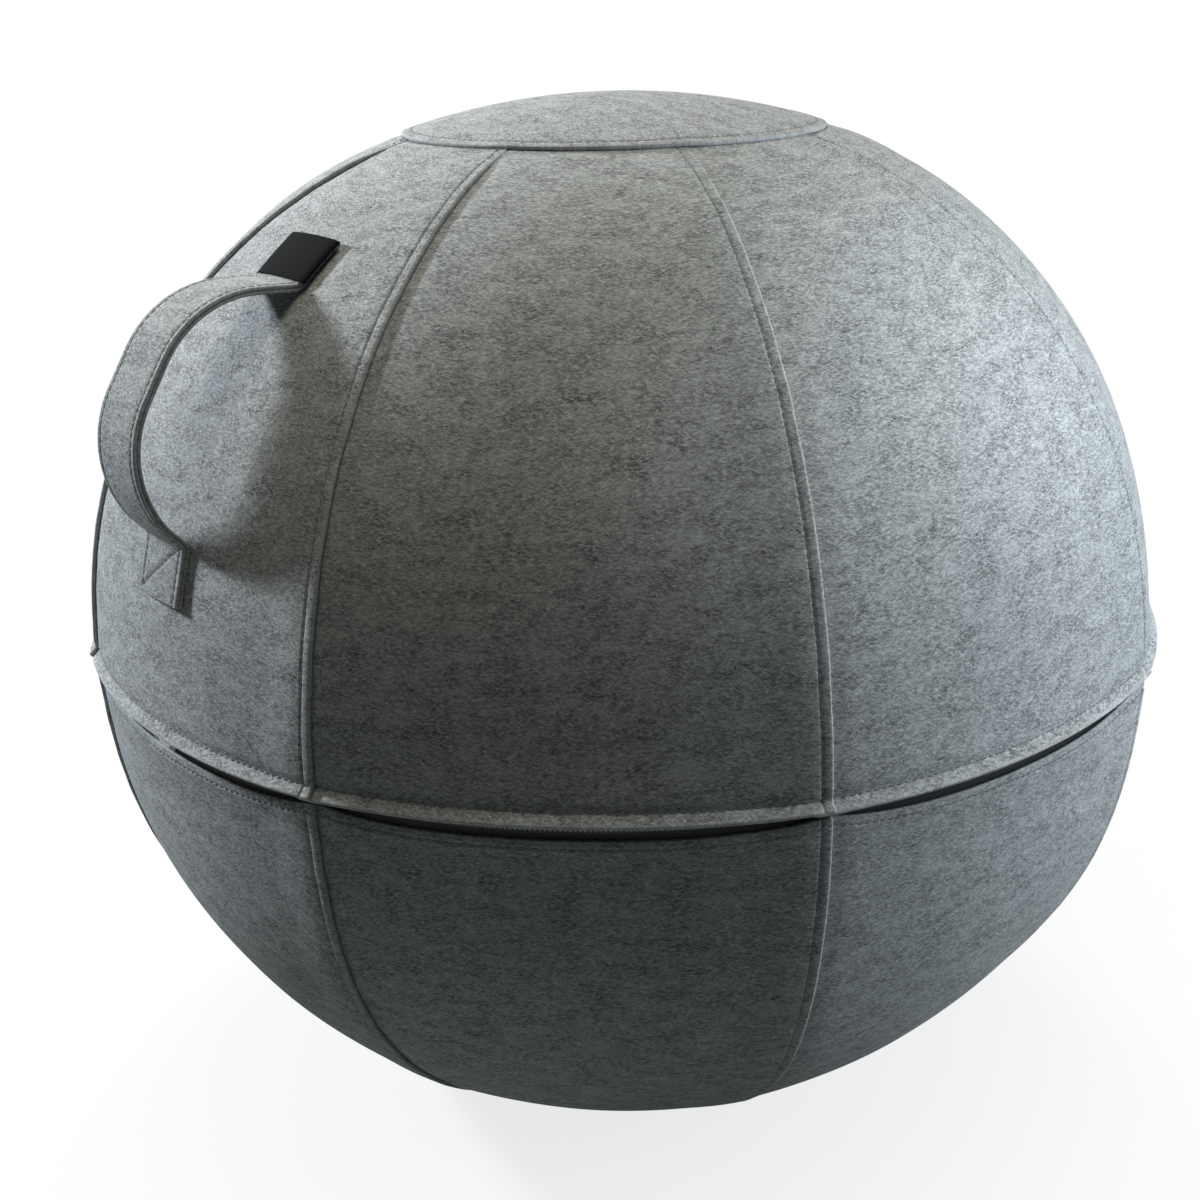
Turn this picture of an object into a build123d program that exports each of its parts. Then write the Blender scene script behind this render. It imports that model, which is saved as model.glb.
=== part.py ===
"""Sitting ball: an inflated bladder in a felt cover of eight upper and eight lower panels.

Millimetres, +Z up. The origin is on the floor, under the ball's centre, and the carrying
handle is on the -Y side. Azimuth is counted from -Y towards +X.
"""
from build123d import *
import os
from math import asin, atan2, cos, degrees, hypot, radians, sin, sqrt, tan

# Ball: outer felt radius at the zip, and how far its underside is pressed flat on the floor
ball_radius = 325.0
floor_flattening = 6.7

# Meridian: side, shoulder and crown arcs, tangent to each other
crown_flattening = 18.3
side_flattening = 15.0
crown_centre_drop = 106.0
shoulder_tightening = 24.0

# Felt and sewing
felt_thickness = 2.2
layer_clearance = 0.2
panel_count = 8
seam_lap = 9.0
lap_root = 3.0
top_disc_radius = 123.3
base_disc_radius = 123.3
disc_lap = 12.0
disc_edge_clearance = 0.4

# Hems beside the zip: the upper one stands out over it, the lower one is drawn in
upper_hem_height = 6.5
lower_hem_height = 4.0
hem_run_in = 4.0
stitch_dip = 0.7
upper_hem_flare = 4.0

# Zip
hinge_width = 136.0
tape_width = 13.0
tape_thickness = 0.9
coil_height = 2.7
coil_thickness = 2.5
coil_split = 0.3
coil_edge_clearance = 0.15
coil_seat_clearance = 0.1
stop_length = 2.5
slider_length = 12.0
slider_plate = 1.2
slider_side_clearance = 0.6
slider_running_clearance = 0.4
bridge_length = 7.0
bridge_width = 1.6
bridge_wall = 0.9
pull_length = 22.0
pull_thickness = 1.0
pull_rail = 1.1
pull_clearance = 0.3

# Bladder and its valve
bladder_wall = 1.2
bladder_clearance = 0.3
valve_diameter = 30.0
valve_depth = 9.0
valve_flange_diameter = 40.0
valve_flange = 1.5
plug_head_diameter = 20.0
plug_head = 2.0
plug_stem_diameter = 9.0
plug_stem_length = 14.0
plug_clearance = 0.1

# Handle: a felt strap, sewn down at both ends, heights above the zip
strap_width = 40.0
strap_thickness = 4.2
lower_sewn_height = 106.0
lower_sewn_length = 33.0
upper_sewn_height = 230.0
upper_sewn_length = 32.0
arch_height = 45.0
lower_leg_lean = 18.0
upper_leg_lean = 30.0
arch_radius = 58.0
arch_least_flat = 2.0
root_radius = 6.0
swing_height = 18.0
swing_clearance = 0.3
label_width = 46.0
label_length = 30.0
label_thickness = 0.8
label_setback = 2.8

# Worked out from the sizes above
panel_angle = 360 / panel_count
raise_step = felt_thickness + layer_clearance
crown_height = ball_radius - crown_flattening
belt_height = crown_height - floor_flattening
zip_gap = coil_split + 2 * (coil_height + coil_edge_clearance)
slider_height = zip_gap - 2 * slider_side_clearance
pull_height = bridge_width + 2 * (pull_clearance + pull_rail)
side_arc = ball_radius + side_flattening
shoulder_arc = crown_height - shoulder_tightening
crown_arc = crown_height + crown_centre_drop
side_centre = (-side_flattening, 0.0)
crown_centre = (0.0, -crown_centre_drop)
reach = 2 * ball_radius


def shoulder_centre():
    """The point that lies side_arc - shoulder_arc from the side centre and likewise from the crown's."""
    from_side = side_arc - shoulder_arc
    from_crown = crown_arc - shoulder_arc
    across = crown_centre[0] - side_centre[0]
    down = crown_centre[1] - side_centre[1]
    apart = hypot(across, down)
    along = (from_side**2 - from_crown**2 + apart**2) / (2 * apart)
    off = sqrt(from_side**2 - along**2)
    x = side_centre[0] + (along * across - off * down) / apart
    z = side_centre[1] + (along * down + off * across) / apart
    return (x, z)


shoulder_point = shoulder_centre()
side_end = degrees(atan2(shoulder_point[1], shoulder_point[0] - side_centre[0]))
shoulder_end = degrees(atan2(shoulder_point[1] - crown_centre[1], shoulder_point[0]))


def side_radius(depth, height):
    """Distance from the ball's axis to the side arc of a layer, at a height above the zip."""
    return side_centre[0] + sqrt((side_arc - depth) ** 2 - height**2)


def crown_radius(depth, height):
    """Distance from the ball's axis to the crown arc of a layer, at a height from the zip."""
    return sqrt((crown_arc - depth) ** 2 - (height - crown_centre[1]) ** 2)


def surface_point(height, depth):
    """Meridian point of a layer whose outermost layer passes the given height, and its slope there."""
    if height < side_arc * sin(radians(side_end)):
        centre, radius = side_centre, side_arc
    else:
        centre, radius = shoulder_point, shoulder_arc
    angle = asin((height - centre[1]) / radius)
    out = Vector(cos(angle), sin(angle))
    return Vector(*centre) + out * (radius - depth), out


def meridian_plane(azimuth):
    """Upright plane through the axis: local x runs outwards from the axis, local y up from the zip."""
    a = radians(azimuth)
    return Plane(origin=(0, 0, belt_height), x_dir=(sin(a), -cos(a), 0), z_dir=(-cos(a), -sin(a), 0))


def seam_plane(azimuth, shift):
    """Upright plane beside a seam, moved by shift towards growing azimuth, which it faces."""
    a = radians(azimuth)
    ahead = Vector(cos(a), sin(a), 0)
    return Plane(origin=ahead * shift, x_dir=(0, 0, 1), z_dir=ahead)


def draw_meridian(depth, half, start_height):
    """Draws one layer's arcs from start_height to the pole, upwards for half 1 and downwards for half -1."""
    start = degrees(asin(start_height / (side_arc - depth)))
    spans = (
        (side_centre, side_arc, start, side_end),
        (shoulder_point, shoulder_arc, side_end, shoulder_end),
        (crown_centre, crown_arc, shoulder_end, 90.0),
    )
    for centre, radius, begin, end in spans:
        CenterArc((centre[0], half * centre[1]), radius - depth, half * begin, half * (end - begin))


def panel_section(azimuth, outer, inner, half, hem_height, flare):
    """The meridian section of a felt layer, from its hem beside the zip to the pole."""
    edge = zip_gap / 2
    crease = edge + hem_height
    join = crease + hem_run_in
    ends = []
    with BuildSketch(meridian_plane(azimuth)) as section:
        with BuildLine():
            for depth in (outer, inner):
                draw_meridian(depth, half, join)
                lip = (ball_radius - depth + flare, half * edge)
                fold = (side_radius(depth, crease) - stitch_dip, half * crease)
                Polyline((side_radius(depth, join), half * join), fold, lip)
                ends.append(lip)
            Line(ends[0], ends[1])
            Line((0, half * (crown_height - outer)), (0, half * (crown_height - inner)))
        make_face()
    return section.sketch


def panel(half, hem_height, flare, disc_radius):
    """One felt panel in front of the -Y axis, lapped over the next panel along its right edge."""
    left = -panel_angle / 2
    right = panel_angle / 2
    spare = panel_angle / 3
    lap_edge = seam_lap + layer_clearance
    layers = (
        (0.0, felt_thickness, left, -seam_lap, -lap_edge, disc_radius - disc_lap),
        (-raise_step, felt_thickness / 2, right, -lap_edge - lap_root, -lap_edge, disc_radius + disc_edge_clearance),
        (-raise_step, -layer_clearance, right, -lap_edge - lap_root, 0.0, disc_radius + disc_edge_clearance),
    )
    pieces = []
    for outer, inner, from_seam, from_shift, to_shift, hole_radius in layers:
        with BuildPart() as layer:
            section = panel_section(left - spare, outer, inner, half, hem_height, flare)
            revolve(section, axis=Axis.Z, revolution_arc=panel_angle + 2 * spare)
            split(bisect_by=seam_plane(from_seam, from_shift), keep=Keep.TOP)
            split(bisect_by=seam_plane(right, to_shift), keep=Keep.BOTTOM)
            with BuildSketch(Plane.XY):
                Circle(hole_radius)
            extrude(amount=reach, both=True, mode=Mode.SUBTRACT)
        pieces.append(layer.part)
    with BuildPart() as whole:
        for piece in pieces:
            add(piece)
    return whole.part


def finish(part, name):
    """Names a finished piece and writes it."""
    part.label = name
    export_step(part, f"parts/{name}.step")


os.makedirs("parts", exist_ok=True)

# Felt panels: eight above the zip and eight below it, all cut alike
halves = (
    ("upper", 1, upper_hem_height, upper_hem_flare, top_disc_radius),
    ("lower", -1, lower_hem_height, -stitch_dip, base_disc_radius),
)
for half_name, half, hem_height, flare, disc_radius in halves:
    cut = panel(half, hem_height, flare, disc_radius)
    for index in range(panel_count):
        with BuildPart() as felt_panel:
            add(cut.rotate(Axis.Z, index * panel_angle))
        finish(felt_panel.part, f"{half_name}_panel_{index + 1}")

# Top disc: a round of felt sewn over the ends of the upper panels
with BuildPart() as top_disc:
    section = panel_section(0, -raise_step, -layer_clearance, 1, upper_hem_height, upper_hem_flare)
    revolve(section, axis=Axis.Z)
    with BuildSketch(Plane.XY):
        Circle(top_disc_radius)
    extrude(amount=reach, mode=Mode.INTERSECT)
finish(top_disc.part, "top_disc")

# Base disc: the same round under the ball, pressed flat where it stands on the floor
flat_radius = crown_radius(-layer_clearance, belt_height - felt_thickness)
with BuildPart() as base_disc:
    section = panel_section(0, -raise_step, -layer_clearance, -1, lower_hem_height, -stitch_dip)
    revolve(section, axis=Axis.Z)
    with BuildSketch(Plane.XY):
        Circle(base_disc_radius)
    extrude(amount=belt_height, mode=Mode.INTERSECT)
    with BuildSketch(Plane.XY):
        Circle(flat_radius)
    extrude(amount=felt_thickness)
finish(base_disc.part, "base_disc")

# Zip: two tapes sewn behind the hems, each with a coil along its edge in the gap
tape_outer = side_radius(0, zip_gap / 2 + upper_hem_height) - stitch_dip - felt_thickness - layer_clearance
tape_inner = tape_outer - tape_thickness
coil_inner = tape_outer + coil_seat_clearance
coil_outer = coil_inner + coil_thickness
zip_half_angle = 180 - degrees(hinge_width / 2 / ball_radius)
stop_angle = degrees(stop_length / coil_outer)
coil_half_angle = zip_half_angle - stop_angle


def ring(inner_radius, outer_radius, low, high, start_azimuth, sweep_angle):
    """A band of rectangular section round the axis, between two heights from the zip."""
    with BuildPart() as band:
        with BuildSketch(meridian_plane(start_azimuth)):
            with Locations(((inner_radius + outer_radius) / 2, (low + high) / 2)):
                Rectangle(outer_radius - inner_radius, high - low)
        revolve(axis=Axis.Z, revolution_arc=sweep_angle)
    return band.part


coil_low = coil_split / 2
coil_high = coil_low + coil_height
for half_name, half in (("upper", 1), ("lower", -1)):
    tape_span = sorted((half * coil_low, half * tape_width))
    coil_span = sorted((half * coil_low, half * coil_high))
    tape = ring(tape_inner, tape_outer, *tape_span, -zip_half_angle, 2 * zip_half_angle)
    finish(tape, f"zip_tape_{half_name}")
    coil = ring(coil_inner, coil_outer, *coil_span, -coil_half_angle, 2 * coil_half_angle)
    finish(coil, f"zip_coil_{half_name}")

# End stops: a clip at each end of the lower coil
stop_gap = degrees(coil_seat_clearance / coil_outer)
with BuildPart() as zip_stops:
    for start in (coil_half_angle + stop_gap, -zip_half_angle):
        add(ring(coil_inner, coil_outer, -coil_high, -coil_low, start, stop_angle - stop_gap))
finish(zip_stops.part, "zip_stops")

# Seam tape: closes the stretch at the back where the two halves are sewn together
seam_gap = degrees(layer_clearance / tape_outer)
seam_sweep = 360 - 2 * zip_half_angle - 2 * seam_gap
seam_tape = ring(tape_inner, tape_outer, -tape_width, tape_width, zip_half_angle + seam_gap, seam_sweep)
finish(seam_tape, "seam_tape")

# Slider: a plate over the coils with a bridge for the pull, at the closed end of the zip
plate_inner = coil_outer + slider_running_clearance
plate_outer = plate_inner + slider_plate
slider_side_room = (stop_length + coil_seat_clearance + slider_running_clearance + slider_length / 2) / coil_outer
slider_azimuth = zip_half_angle - degrees(slider_side_room)
pull_axis_radius = plate_outer + pull_clearance + pull_thickness / 2
bridge_room = pull_thickness + 2 * pull_clearance
bridge_outer = plate_outer + bridge_room + bridge_wall


def slider_plane(height):
    """Level plane at the slider, at a height from the zip: x along the zip, y outwards from the axis."""
    a = radians(slider_azimuth)
    return Plane(origin=(0, 0, belt_height + height), x_dir=(-cos(a), -sin(a), 0), z_dir=(0, 0, 1))


with BuildPart() as zip_slider:
    with BuildSketch(slider_plane(-slider_height / 2)):
        with Locations((0, (plate_inner + plate_outer) / 2)):
            Rectangle(slider_length, slider_plate)
    extrude(amount=slider_height)
    ends = zip_slider.edges().filter_by(lambda edge: abs(edge.length - slider_plate) < 0.01)
    fillet(ends, slider_height / 3)
    with BuildSketch(slider_plane(-bridge_width / 2)):
        with Locations((0, (plate_outer + bridge_outer) / 2)):
            Rectangle(bridge_length, bridge_outer - plate_outer)
        with Locations((0, plate_outer + bridge_room / 2)):
            Rectangle(bridge_length - 2 * bridge_wall, bridge_room, mode=Mode.SUBTRACT)
    extrude(amount=bridge_width)
finish(zip_slider.part, "zip_slider")

# Pull: a flat tab whose end bar passes under the bridge and turns there
window_length = bridge_length / 2 + pull_clearance
with BuildPart() as zip_pull:
    with BuildSketch(slider_plane(-pull_height / 2)):
        with Locations((pull_length / 2, pull_axis_radius)):
            Rectangle(pull_length, pull_thickness)
        with Locations((0, pull_axis_radius)):
            Circle(pull_thickness / 2)
    extrude(amount=pull_height)
    with BuildSketch(slider_plane(-pull_height / 2 + pull_rail)):
        with Locations((pull_thickness / 2 + window_length / 2, pull_axis_radius)):
            Rectangle(window_length, 2 * pull_thickness)
    extrude(amount=pull_height - 2 * pull_rail, mode=Mode.SUBTRACT)
finish(zip_pull.part, "zip_pull")

# Bladder: the air-tight ball inside, standing on the base disc
bladder_depth = ball_radius - (tape_inner - bladder_clearance)
bladder_floor = felt_thickness + bladder_clearance
valve_plane = Plane(origin=(0, 0, belt_height), x_dir=(1, 0, 0), z_dir=(0, -1, 0))


def ball_inside(depth, floor_height):
    """The whole space inside a layer, cut flat at a height above the floor."""
    with BuildPart() as inside:
        with BuildSketch(meridian_plane(0)):
            with BuildLine():
                draw_meridian(depth, 1, 0)
                draw_meridian(depth, -1, 0)
                Line((0, crown_height - depth), (0, depth - crown_height))
            make_face()
        revolve(axis=Axis.Z)
        split(bisect_by=Plane.XY.offset(floor_height), keep=Keep.TOP)
    return inside.part


bladder_skin = ball_inside(bladder_depth, bladder_floor)
bladder_air = ball_inside(bladder_depth + bladder_wall, bladder_floor + bladder_wall)
with BuildPart() as bladder:
    add(bladder_skin)
    add(bladder_air, mode=Mode.SUBTRACT)
    with BuildSketch(valve_plane):
        Circle(valve_diameter / 2 + plug_clearance)
    extrude(amount=ball_radius, mode=Mode.SUBTRACT)
finish(bladder.part, "bladder")

# Valve seat: a moulded cup welded into the bladder's wall behind the zip, flanged on the inside
bladder_radius = ball_radius - bladder_depth
valve_face = sqrt(bladder_radius**2 - (valve_diameter / 2) ** 2)
flange_face = sqrt((bladder_radius - bladder_wall) ** 2 - (valve_flange_diameter / 2) ** 2) - plug_clearance
plug_recess = plug_head + plug_clearance
with BuildPart() as valve_seat:
    with BuildSketch(valve_plane.offset(valve_face - valve_depth)):
        Circle(valve_diameter / 2)
    extrude(amount=valve_depth)
    with BuildSketch(valve_plane.offset(flange_face - valve_flange)):
        Circle(valve_flange_diameter / 2)
    extrude(amount=valve_flange)
    with Locations(valve_plane.offset(valve_face)):
        CounterBoreHole(
            plug_stem_diameter / 2 + plug_clearance, plug_head_diameter / 2 + plug_clearance, plug_recess
        )
finish(valve_seat.part, "valve_seat")

# Plug: pushed into the seat, with its head flush
with BuildPart() as valve_plug:
    with BuildSketch(valve_plane.offset(valve_face - plug_head)):
        Circle(plug_head_diameter / 2)
    extrude(amount=plug_head)
    with BuildSketch(valve_plane.offset(valve_face - plug_head - plug_stem_length)):
        Circle(plug_stem_diameter / 2)
    extrude(amount=plug_stem_length)
    stem_end = valve_plug.faces().sort_by(Axis.Y)[-1].edges()
    chamfer(stem_end, plug_stem_diameter / 6)
finish(valve_plug.part, "valve_plug")

# Handle: one strap bent as an arch, sewn down along the front panel at both ends
lower_end, lower_out = surface_point(lower_sewn_height - lower_sewn_length / 2, -layer_clearance)
upper_end, upper_out = surface_point(upper_sewn_height, -layer_clearance)
lower_up = Vector(-lower_out.Y, lower_out.X)
upper_up = Vector(-upper_out.Y, upper_out.X)
lower_root = lower_end + lower_up * (lower_sewn_length / 2)
upper_root = upper_end
chord = (upper_root - lower_root).normalized()
outwards = Vector(chord.Y, -chord.X)
arch_points = (
    lower_end - lower_up * (lower_sewn_length / 2),
    lower_root,
    lower_root + chord * lower_leg_lean + outwards * arch_height,
    upper_root - chord * upper_leg_lean + outwards * arch_height,
    upper_root,
    upper_root + upper_up * upper_sewn_length,
)
arch_run = (upper_root - lower_root).length - lower_leg_lean - upper_leg_lean
lower_bend = tan(atan2(arch_height, lower_leg_lean) / 2)
upper_bend = tan(atan2(arch_height, upper_leg_lean) / 2)
arch_bend = min(arch_radius, (arch_run - arch_least_flat) / (lower_bend + upper_bend))
front = meridian_plane(0)
with BuildPart() as strap:
    with BuildSketch(front):
        with BuildLine():
            inner_face = FilletPolyline(*arch_points, radius=[root_radius, arch_bend, arch_bend, root_radius])
            offset(inner_face, amount=strap_thickness, side=Side.RIGHT, closed=True)
        make_face()
    extrude(amount=strap_width / 2, both=True)


def swing_cut(root, lean, shift):
    """Plane square to the handle's swing axis, where a leg of the arch crosses that axis."""
    crossing = root + chord * (lean * swing_height / arch_height + shift) + outwards * swing_height
    facing = front.x_dir * chord.X + front.y_dir * chord.Y
    return Plane(origin=front.from_local_coords(crossing), x_dir=(1, 0, 0), z_dir=facing)


# The strap's two sewn ends stay on the cover, and the arch between them leans from side to side
with BuildPart() as handle_lower_end:
    add(strap.part)
    split(bisect_by=swing_cut(lower_root, lower_leg_lean, 0), keep=Keep.BOTTOM)
finish(handle_lower_end.part, "handle_lower_end")

with BuildPart() as handle_upper_end:
    add(strap.part)
    split(bisect_by=swing_cut(upper_root, -upper_leg_lean, 0), keep=Keep.TOP)
finish(handle_upper_end.part, "handle_upper_end")

with BuildPart() as handle_arch:
    add(strap.part)
    split(bisect_by=swing_cut(lower_root, lower_leg_lean, swing_clearance), keep=Keep.TOP)
    split(bisect_by=swing_cut(upper_root, -upper_leg_lean, -swing_clearance), keep=Keep.BOTTOM)
finish(handle_arch.part, "handle_arch")

# Label: a bare woven patch over the strap's upper end
label_base = upper_root + upper_up * label_setback + upper_out * (strap_thickness + layer_clearance)
label_corners = (
    label_base,
    label_base + upper_up * label_length,
    label_base + upper_up * label_length + upper_out * label_thickness,
    label_base + upper_out * label_thickness,
)
with BuildPart() as label:
    with BuildSketch(front):
        with BuildLine():
            Polyline(*label_corners, close=True)
        make_face()
    extrude(amount=label_width / 2, both=True)
finish(label.part, "label")
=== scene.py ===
from math import acos, asin, atan2, ceil, cos, degrees, exp, hypot, pi, radians, sin, sqrt, tan

import bmesh
import bpy
from mathutils import Matrix, Vector, noise


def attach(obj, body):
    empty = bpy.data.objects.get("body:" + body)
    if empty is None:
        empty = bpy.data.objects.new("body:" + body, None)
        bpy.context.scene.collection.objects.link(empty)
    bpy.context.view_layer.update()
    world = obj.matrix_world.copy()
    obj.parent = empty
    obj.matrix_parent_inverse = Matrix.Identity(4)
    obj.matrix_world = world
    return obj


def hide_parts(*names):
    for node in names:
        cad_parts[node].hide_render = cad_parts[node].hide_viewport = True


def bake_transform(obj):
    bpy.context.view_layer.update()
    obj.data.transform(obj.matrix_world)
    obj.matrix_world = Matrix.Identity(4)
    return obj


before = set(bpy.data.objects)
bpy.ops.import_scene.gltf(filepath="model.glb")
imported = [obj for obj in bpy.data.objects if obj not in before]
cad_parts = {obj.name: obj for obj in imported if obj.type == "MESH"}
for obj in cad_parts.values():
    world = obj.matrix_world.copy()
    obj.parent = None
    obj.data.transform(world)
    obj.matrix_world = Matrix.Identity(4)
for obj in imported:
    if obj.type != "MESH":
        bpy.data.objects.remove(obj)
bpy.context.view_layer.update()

# Bladder: the air-tight ball that carries the sitter, moulded in soft PVC with rings round its valve.
# Blown up, it fills the cover and takes its form: drawn in along each panel, fuller at the seams.
MM = 0.001
ball_radius = 325.0
crown_flattening = 18.3
side_flattening = 15.0
crown_centre_drop = 106.0
shoulder_tightening = 24.0
belt_height = 300.0
bladder_depth = 4.5
bladder_wall = 1.2
bladder_floor = 2.6
valve_hole = 15.3
ring_count = 9
ring_spacing = 24.0
ring_width = 5.0
ring_depth = 1.1
ring_steps = (-0.6, -0.3, 0.0, 0.3, 0.6)
bladder_rows = 90
bladder_columns = 144
bladder_end = 0.02
panel_count = 8
disc_radius = 123.3
gore_flatness = 0.25
gore_level = 0.88
gore_level_base = 0.6
belt_share = 0.3
belt_lead = 20.0
belt_rise = 60.0
gore_base_run = 170.0
upper_fade = (0.5, 0.5)
lower_fade = (0.35, 0.45)
gore_angle = 360 / panel_count

side_arc = ball_radius + side_flattening
crown_height = ball_radius - crown_flattening
shoulder_arc = crown_height - shoulder_tightening
crown_arc = crown_height + crown_centre_drop
side_centre = Vector((-side_flattening, 0.0))
crown_centre = Vector((0.0, -crown_centre_drop))


def find_shoulder():
    """Centre of the arc that runs smoothly from the side arc into the crown arc."""
    from_side = side_arc - shoulder_arc
    from_crown = crown_arc - shoulder_arc
    line = crown_centre - side_centre
    along = (from_side**2 - from_crown**2 + line.length_squared) / (2 * line.length)
    off = sqrt(from_side**2 - along**2)
    ahead = line.normalized()
    return side_centre + ahead * along + Vector((-ahead.y, ahead.x)) * off


shoulder_centre = find_shoulder()
side_turn = atan2(shoulder_centre.y, shoulder_centre.x - side_centre.x)
shoulder_turn = atan2(shoulder_centre.y - crown_centre.y, shoulder_centre.x)
arcs = (
    (side_centre, side_arc, side_turn),
    (shoulder_centre, shoulder_arc, shoulder_turn),
    (crown_centre, crown_arc, pi / 2),
)
side_length = side_arc * side_turn
shoulder_length = shoulder_arc * (shoulder_turn - side_turn)
rim_along = side_length + shoulder_length + crown_arc * (acos(disc_radius / crown_arc) - shoulder_turn)


def ease(share):
    """0 to 1, slow at both ends."""
    held = min(1.0, max(0.0, share))
    return held * held * (3 - 2 * held)


def gore_reach(half, azimuth, along):
    """How far out the cover stands, as a share of its round form, at a length from the zip."""
    off = radians((azimuth + gore_angle / 2) % gore_angle - gore_angle / 2)
    level = gore_level
    fade_start, fade_run = upper_fade
    if half <= 0:
        level += (gore_level_base - gore_level) * ease(along / gore_base_run)
        fade_start, fade_run = lower_fade
    even = radians(level * gore_angle / 2)
    rise = ease((along + belt_lead) / belt_rise)
    swell = off * off * (belt_share + (1 - belt_share) * rise) - even * even * rise
    fade = ease((along / rim_along - fade_start) / fade_run)
    return 1 + gore_flatness / 2 * swell * (1 - fade)


def reach_inside(elevation, depth):
    """Distance from the ball's centre to a layer under the felt's face, at an angle above level."""
    ahead = Vector((cos(elevation), abs(sin(elevation))))
    for centre, radius, last in arcs:
        along = centre.dot(ahead)
        distance = along + sqrt(along**2 - centre.length_squared + (radius - depth) ** 2)
        point = ahead * distance - centre
        if atan2(point.y, point.x) <= last + 1e-6:
            return distance
    return distance


def add_to_scene(name, data):
    """Puts a mesh, a lamp or a camera in the scene as an object."""
    made = bpy.data.objects.new(name, data)
    bpy.context.scene.collection.objects.link(made)
    return made


def new_mesh(name, points, faces, turned=True, smooth=True):
    """A mesh from points and faces, its faces turned outwards and shaded smooth unless told otherwise."""
    mesh = bpy.data.meshes.new(name)
    mesh.from_pydata(points, [], faces)
    if turned:
        shape = bmesh.new()
        shape.from_mesh(mesh)
        bmesh.ops.recalc_face_normals(shape, faces=shape.faces)
        shape.to_mesh(mesh)
        shape.free()
    if smooth:
        mesh.polygons.foreach_set("use_smooth", [True] * len(mesh.polygons))
    return mesh


def closed_sheet(name, outer, inner, cut=None, raw=None, ring=False, centres=None):
    """Joins an outer and an inner face, given as rows of points, into one closed sheet. A ring's rows close
    on themselves, and centres are the two points that fill its middle."""
    rows = len(outer)
    columns = len(outer[0])
    count = rows * columns
    points = [point for face in (outer, inner) for row in face for point in row]
    spans = [(j, (j + 1) % columns) for j in range(columns if ring else columns - 1)]
    faces = []
    for i in range(rows - 1):
        for j, k in spans:
            quad = (i * columns + j, i * columns + k, (i + 1) * columns + k, (i + 1) * columns + j)
            faces.append(quad)
            faces.append(tuple(count + corner for corner in reversed(quad)))
    edges = []
    for i in [rows - 1] if centres else [0, rows - 1]:
        edges += [(i * columns + j, i * columns + k) for j, k in spans]
    if not ring:
        for j in (0, columns - 1):
            edges += [(i * columns + j, (i + 1) * columns + j) for i in range(rows - 1)]
    faces += [(a, b, count + b, count + a) for a, b in edges]
    if centres:
        points.extend(centres)
        for face in (0, 1):
            faces += [(face * count + j, face * count + k, 2 * count + face) for j, k in spans]
    mesh = new_mesh(name, points, faces)
    if cut:
        spread = [place for row in cut for place in row]
        layer = mesh.uv_layers.new(name="cut")
        for loop in mesh.loops:
            index = loop.vertex_index
            layer.data[loop.index].uv = spread[index % count] if index < 2 * count else (0, 0)
    if raw:
        weights = [weight for row in raw for weight in row] * 2 + [0.0] * len(centres or ())
        mesh.attributes.new("raw_edge", "FLOAT", "POINT").data.foreach_set("value", weights)
    return add_to_scene(name, mesh)


def colour(text):
    """An sRGB hex colour as linear red, green, blue and alpha."""
    parts = [int(text[i : i + 2], 16) / 255 for i in (1, 3, 5)]
    return tuple(p / 12.92 if p <= 0.04045 else ((p + 0.055) / 1.055) ** 2.4 for p in parts) + (1.0,)


def add_node(tree, kind, settings=None, links=None):
    """Adds one node: settings are its choices, links its inputs, each a value or another node's output."""
    made = tree.nodes.new(kind)
    for name, value in (settings or {}).items():
        setattr(made, name, value)
    for name, value in (links or {}).items():
        if isinstance(value, bpy.types.NodeSocket):
            tree.links.new(value, made.inputs[name])
        else:
            made.inputs[name].default_value = value
    return made


def new_finish(name, roughness, **sockets):
    """A material with one surface shader, its tree and that shader."""
    made = bpy.data.materials.new(name)
    made.use_nodes = True
    shader = made.node_tree.nodes["Principled BSDF"]
    shader.inputs["Roughness"].default_value = roughness
    for socket, value in sockets.items():
        shader.inputs[socket.replace("_", " ")].default_value = value
    return made, made.node_tree, shader


def two_tone(finish, share, first, second, relief=None):
    """Colours a finish from a first to a second colour by a pattern, and raises it by a relief: its height,
    its strength and its depth in millimetres. A colour mix has its colours at inputs 6 and 7 and output 2."""
    made, tree, shader = finish
    tint = add_node(tree, "ShaderNodeMix", {"data_type": "RGBA"}, {0: share, 6: first, 7: second})
    tree.links.new(tint.outputs[2], shader.inputs["Base Color"])
    if relief:
        height, strength, depth = relief
        raised = {"Height": height, "Strength": strength, "Distance": depth * MM}
        bump = add_node(tree, "ShaderNodeBump", {}, raised)
        tree.links.new(bump.outputs[0], shader.inputs["Normal"])
    return made


def soft_pvc():
    """Plasticised PVC, moulded: an even grey-blue skin with a satin shine and a very fine grain."""
    cloud_size = 71.4 * MM
    grain = 1.2 * MM
    finish = new_finish("soft_pvc", 0.38, IOR=1.53)
    tree = finish[1]
    place = add_node(tree, "ShaderNodeTexCoord").outputs["Object"]
    cloud = add_node(tree, "ShaderNodeTexNoise", {}, {"Vector": place, "Scale": 1 / cloud_size}).outputs[0]
    fine = add_node(tree, "ShaderNodeTexNoise", {}, {"Vector": place, "Scale": 1 / grain}).outputs[0]
    return two_tone(finish, cloud, colour("#5d666d"), colour("#737d84"), (fine, 0.15, 0.1))


def bladder_rings():
    """Angles from the valve's axis at which the skin is drawn, closer together beside each moulded ring."""
    first = asin(valve_hole / (ball_radius - bladder_depth))
    angles = [first + (pi - bladder_end - first) * i / bladder_rows for i in range(bladder_rows + 1)]
    for index in range(ring_count):
        middle = ring_angle(index)
        angles += [middle + ring_width * step / ball_radius for step in ring_steps]
    return sorted(angles, reverse=True)


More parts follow.
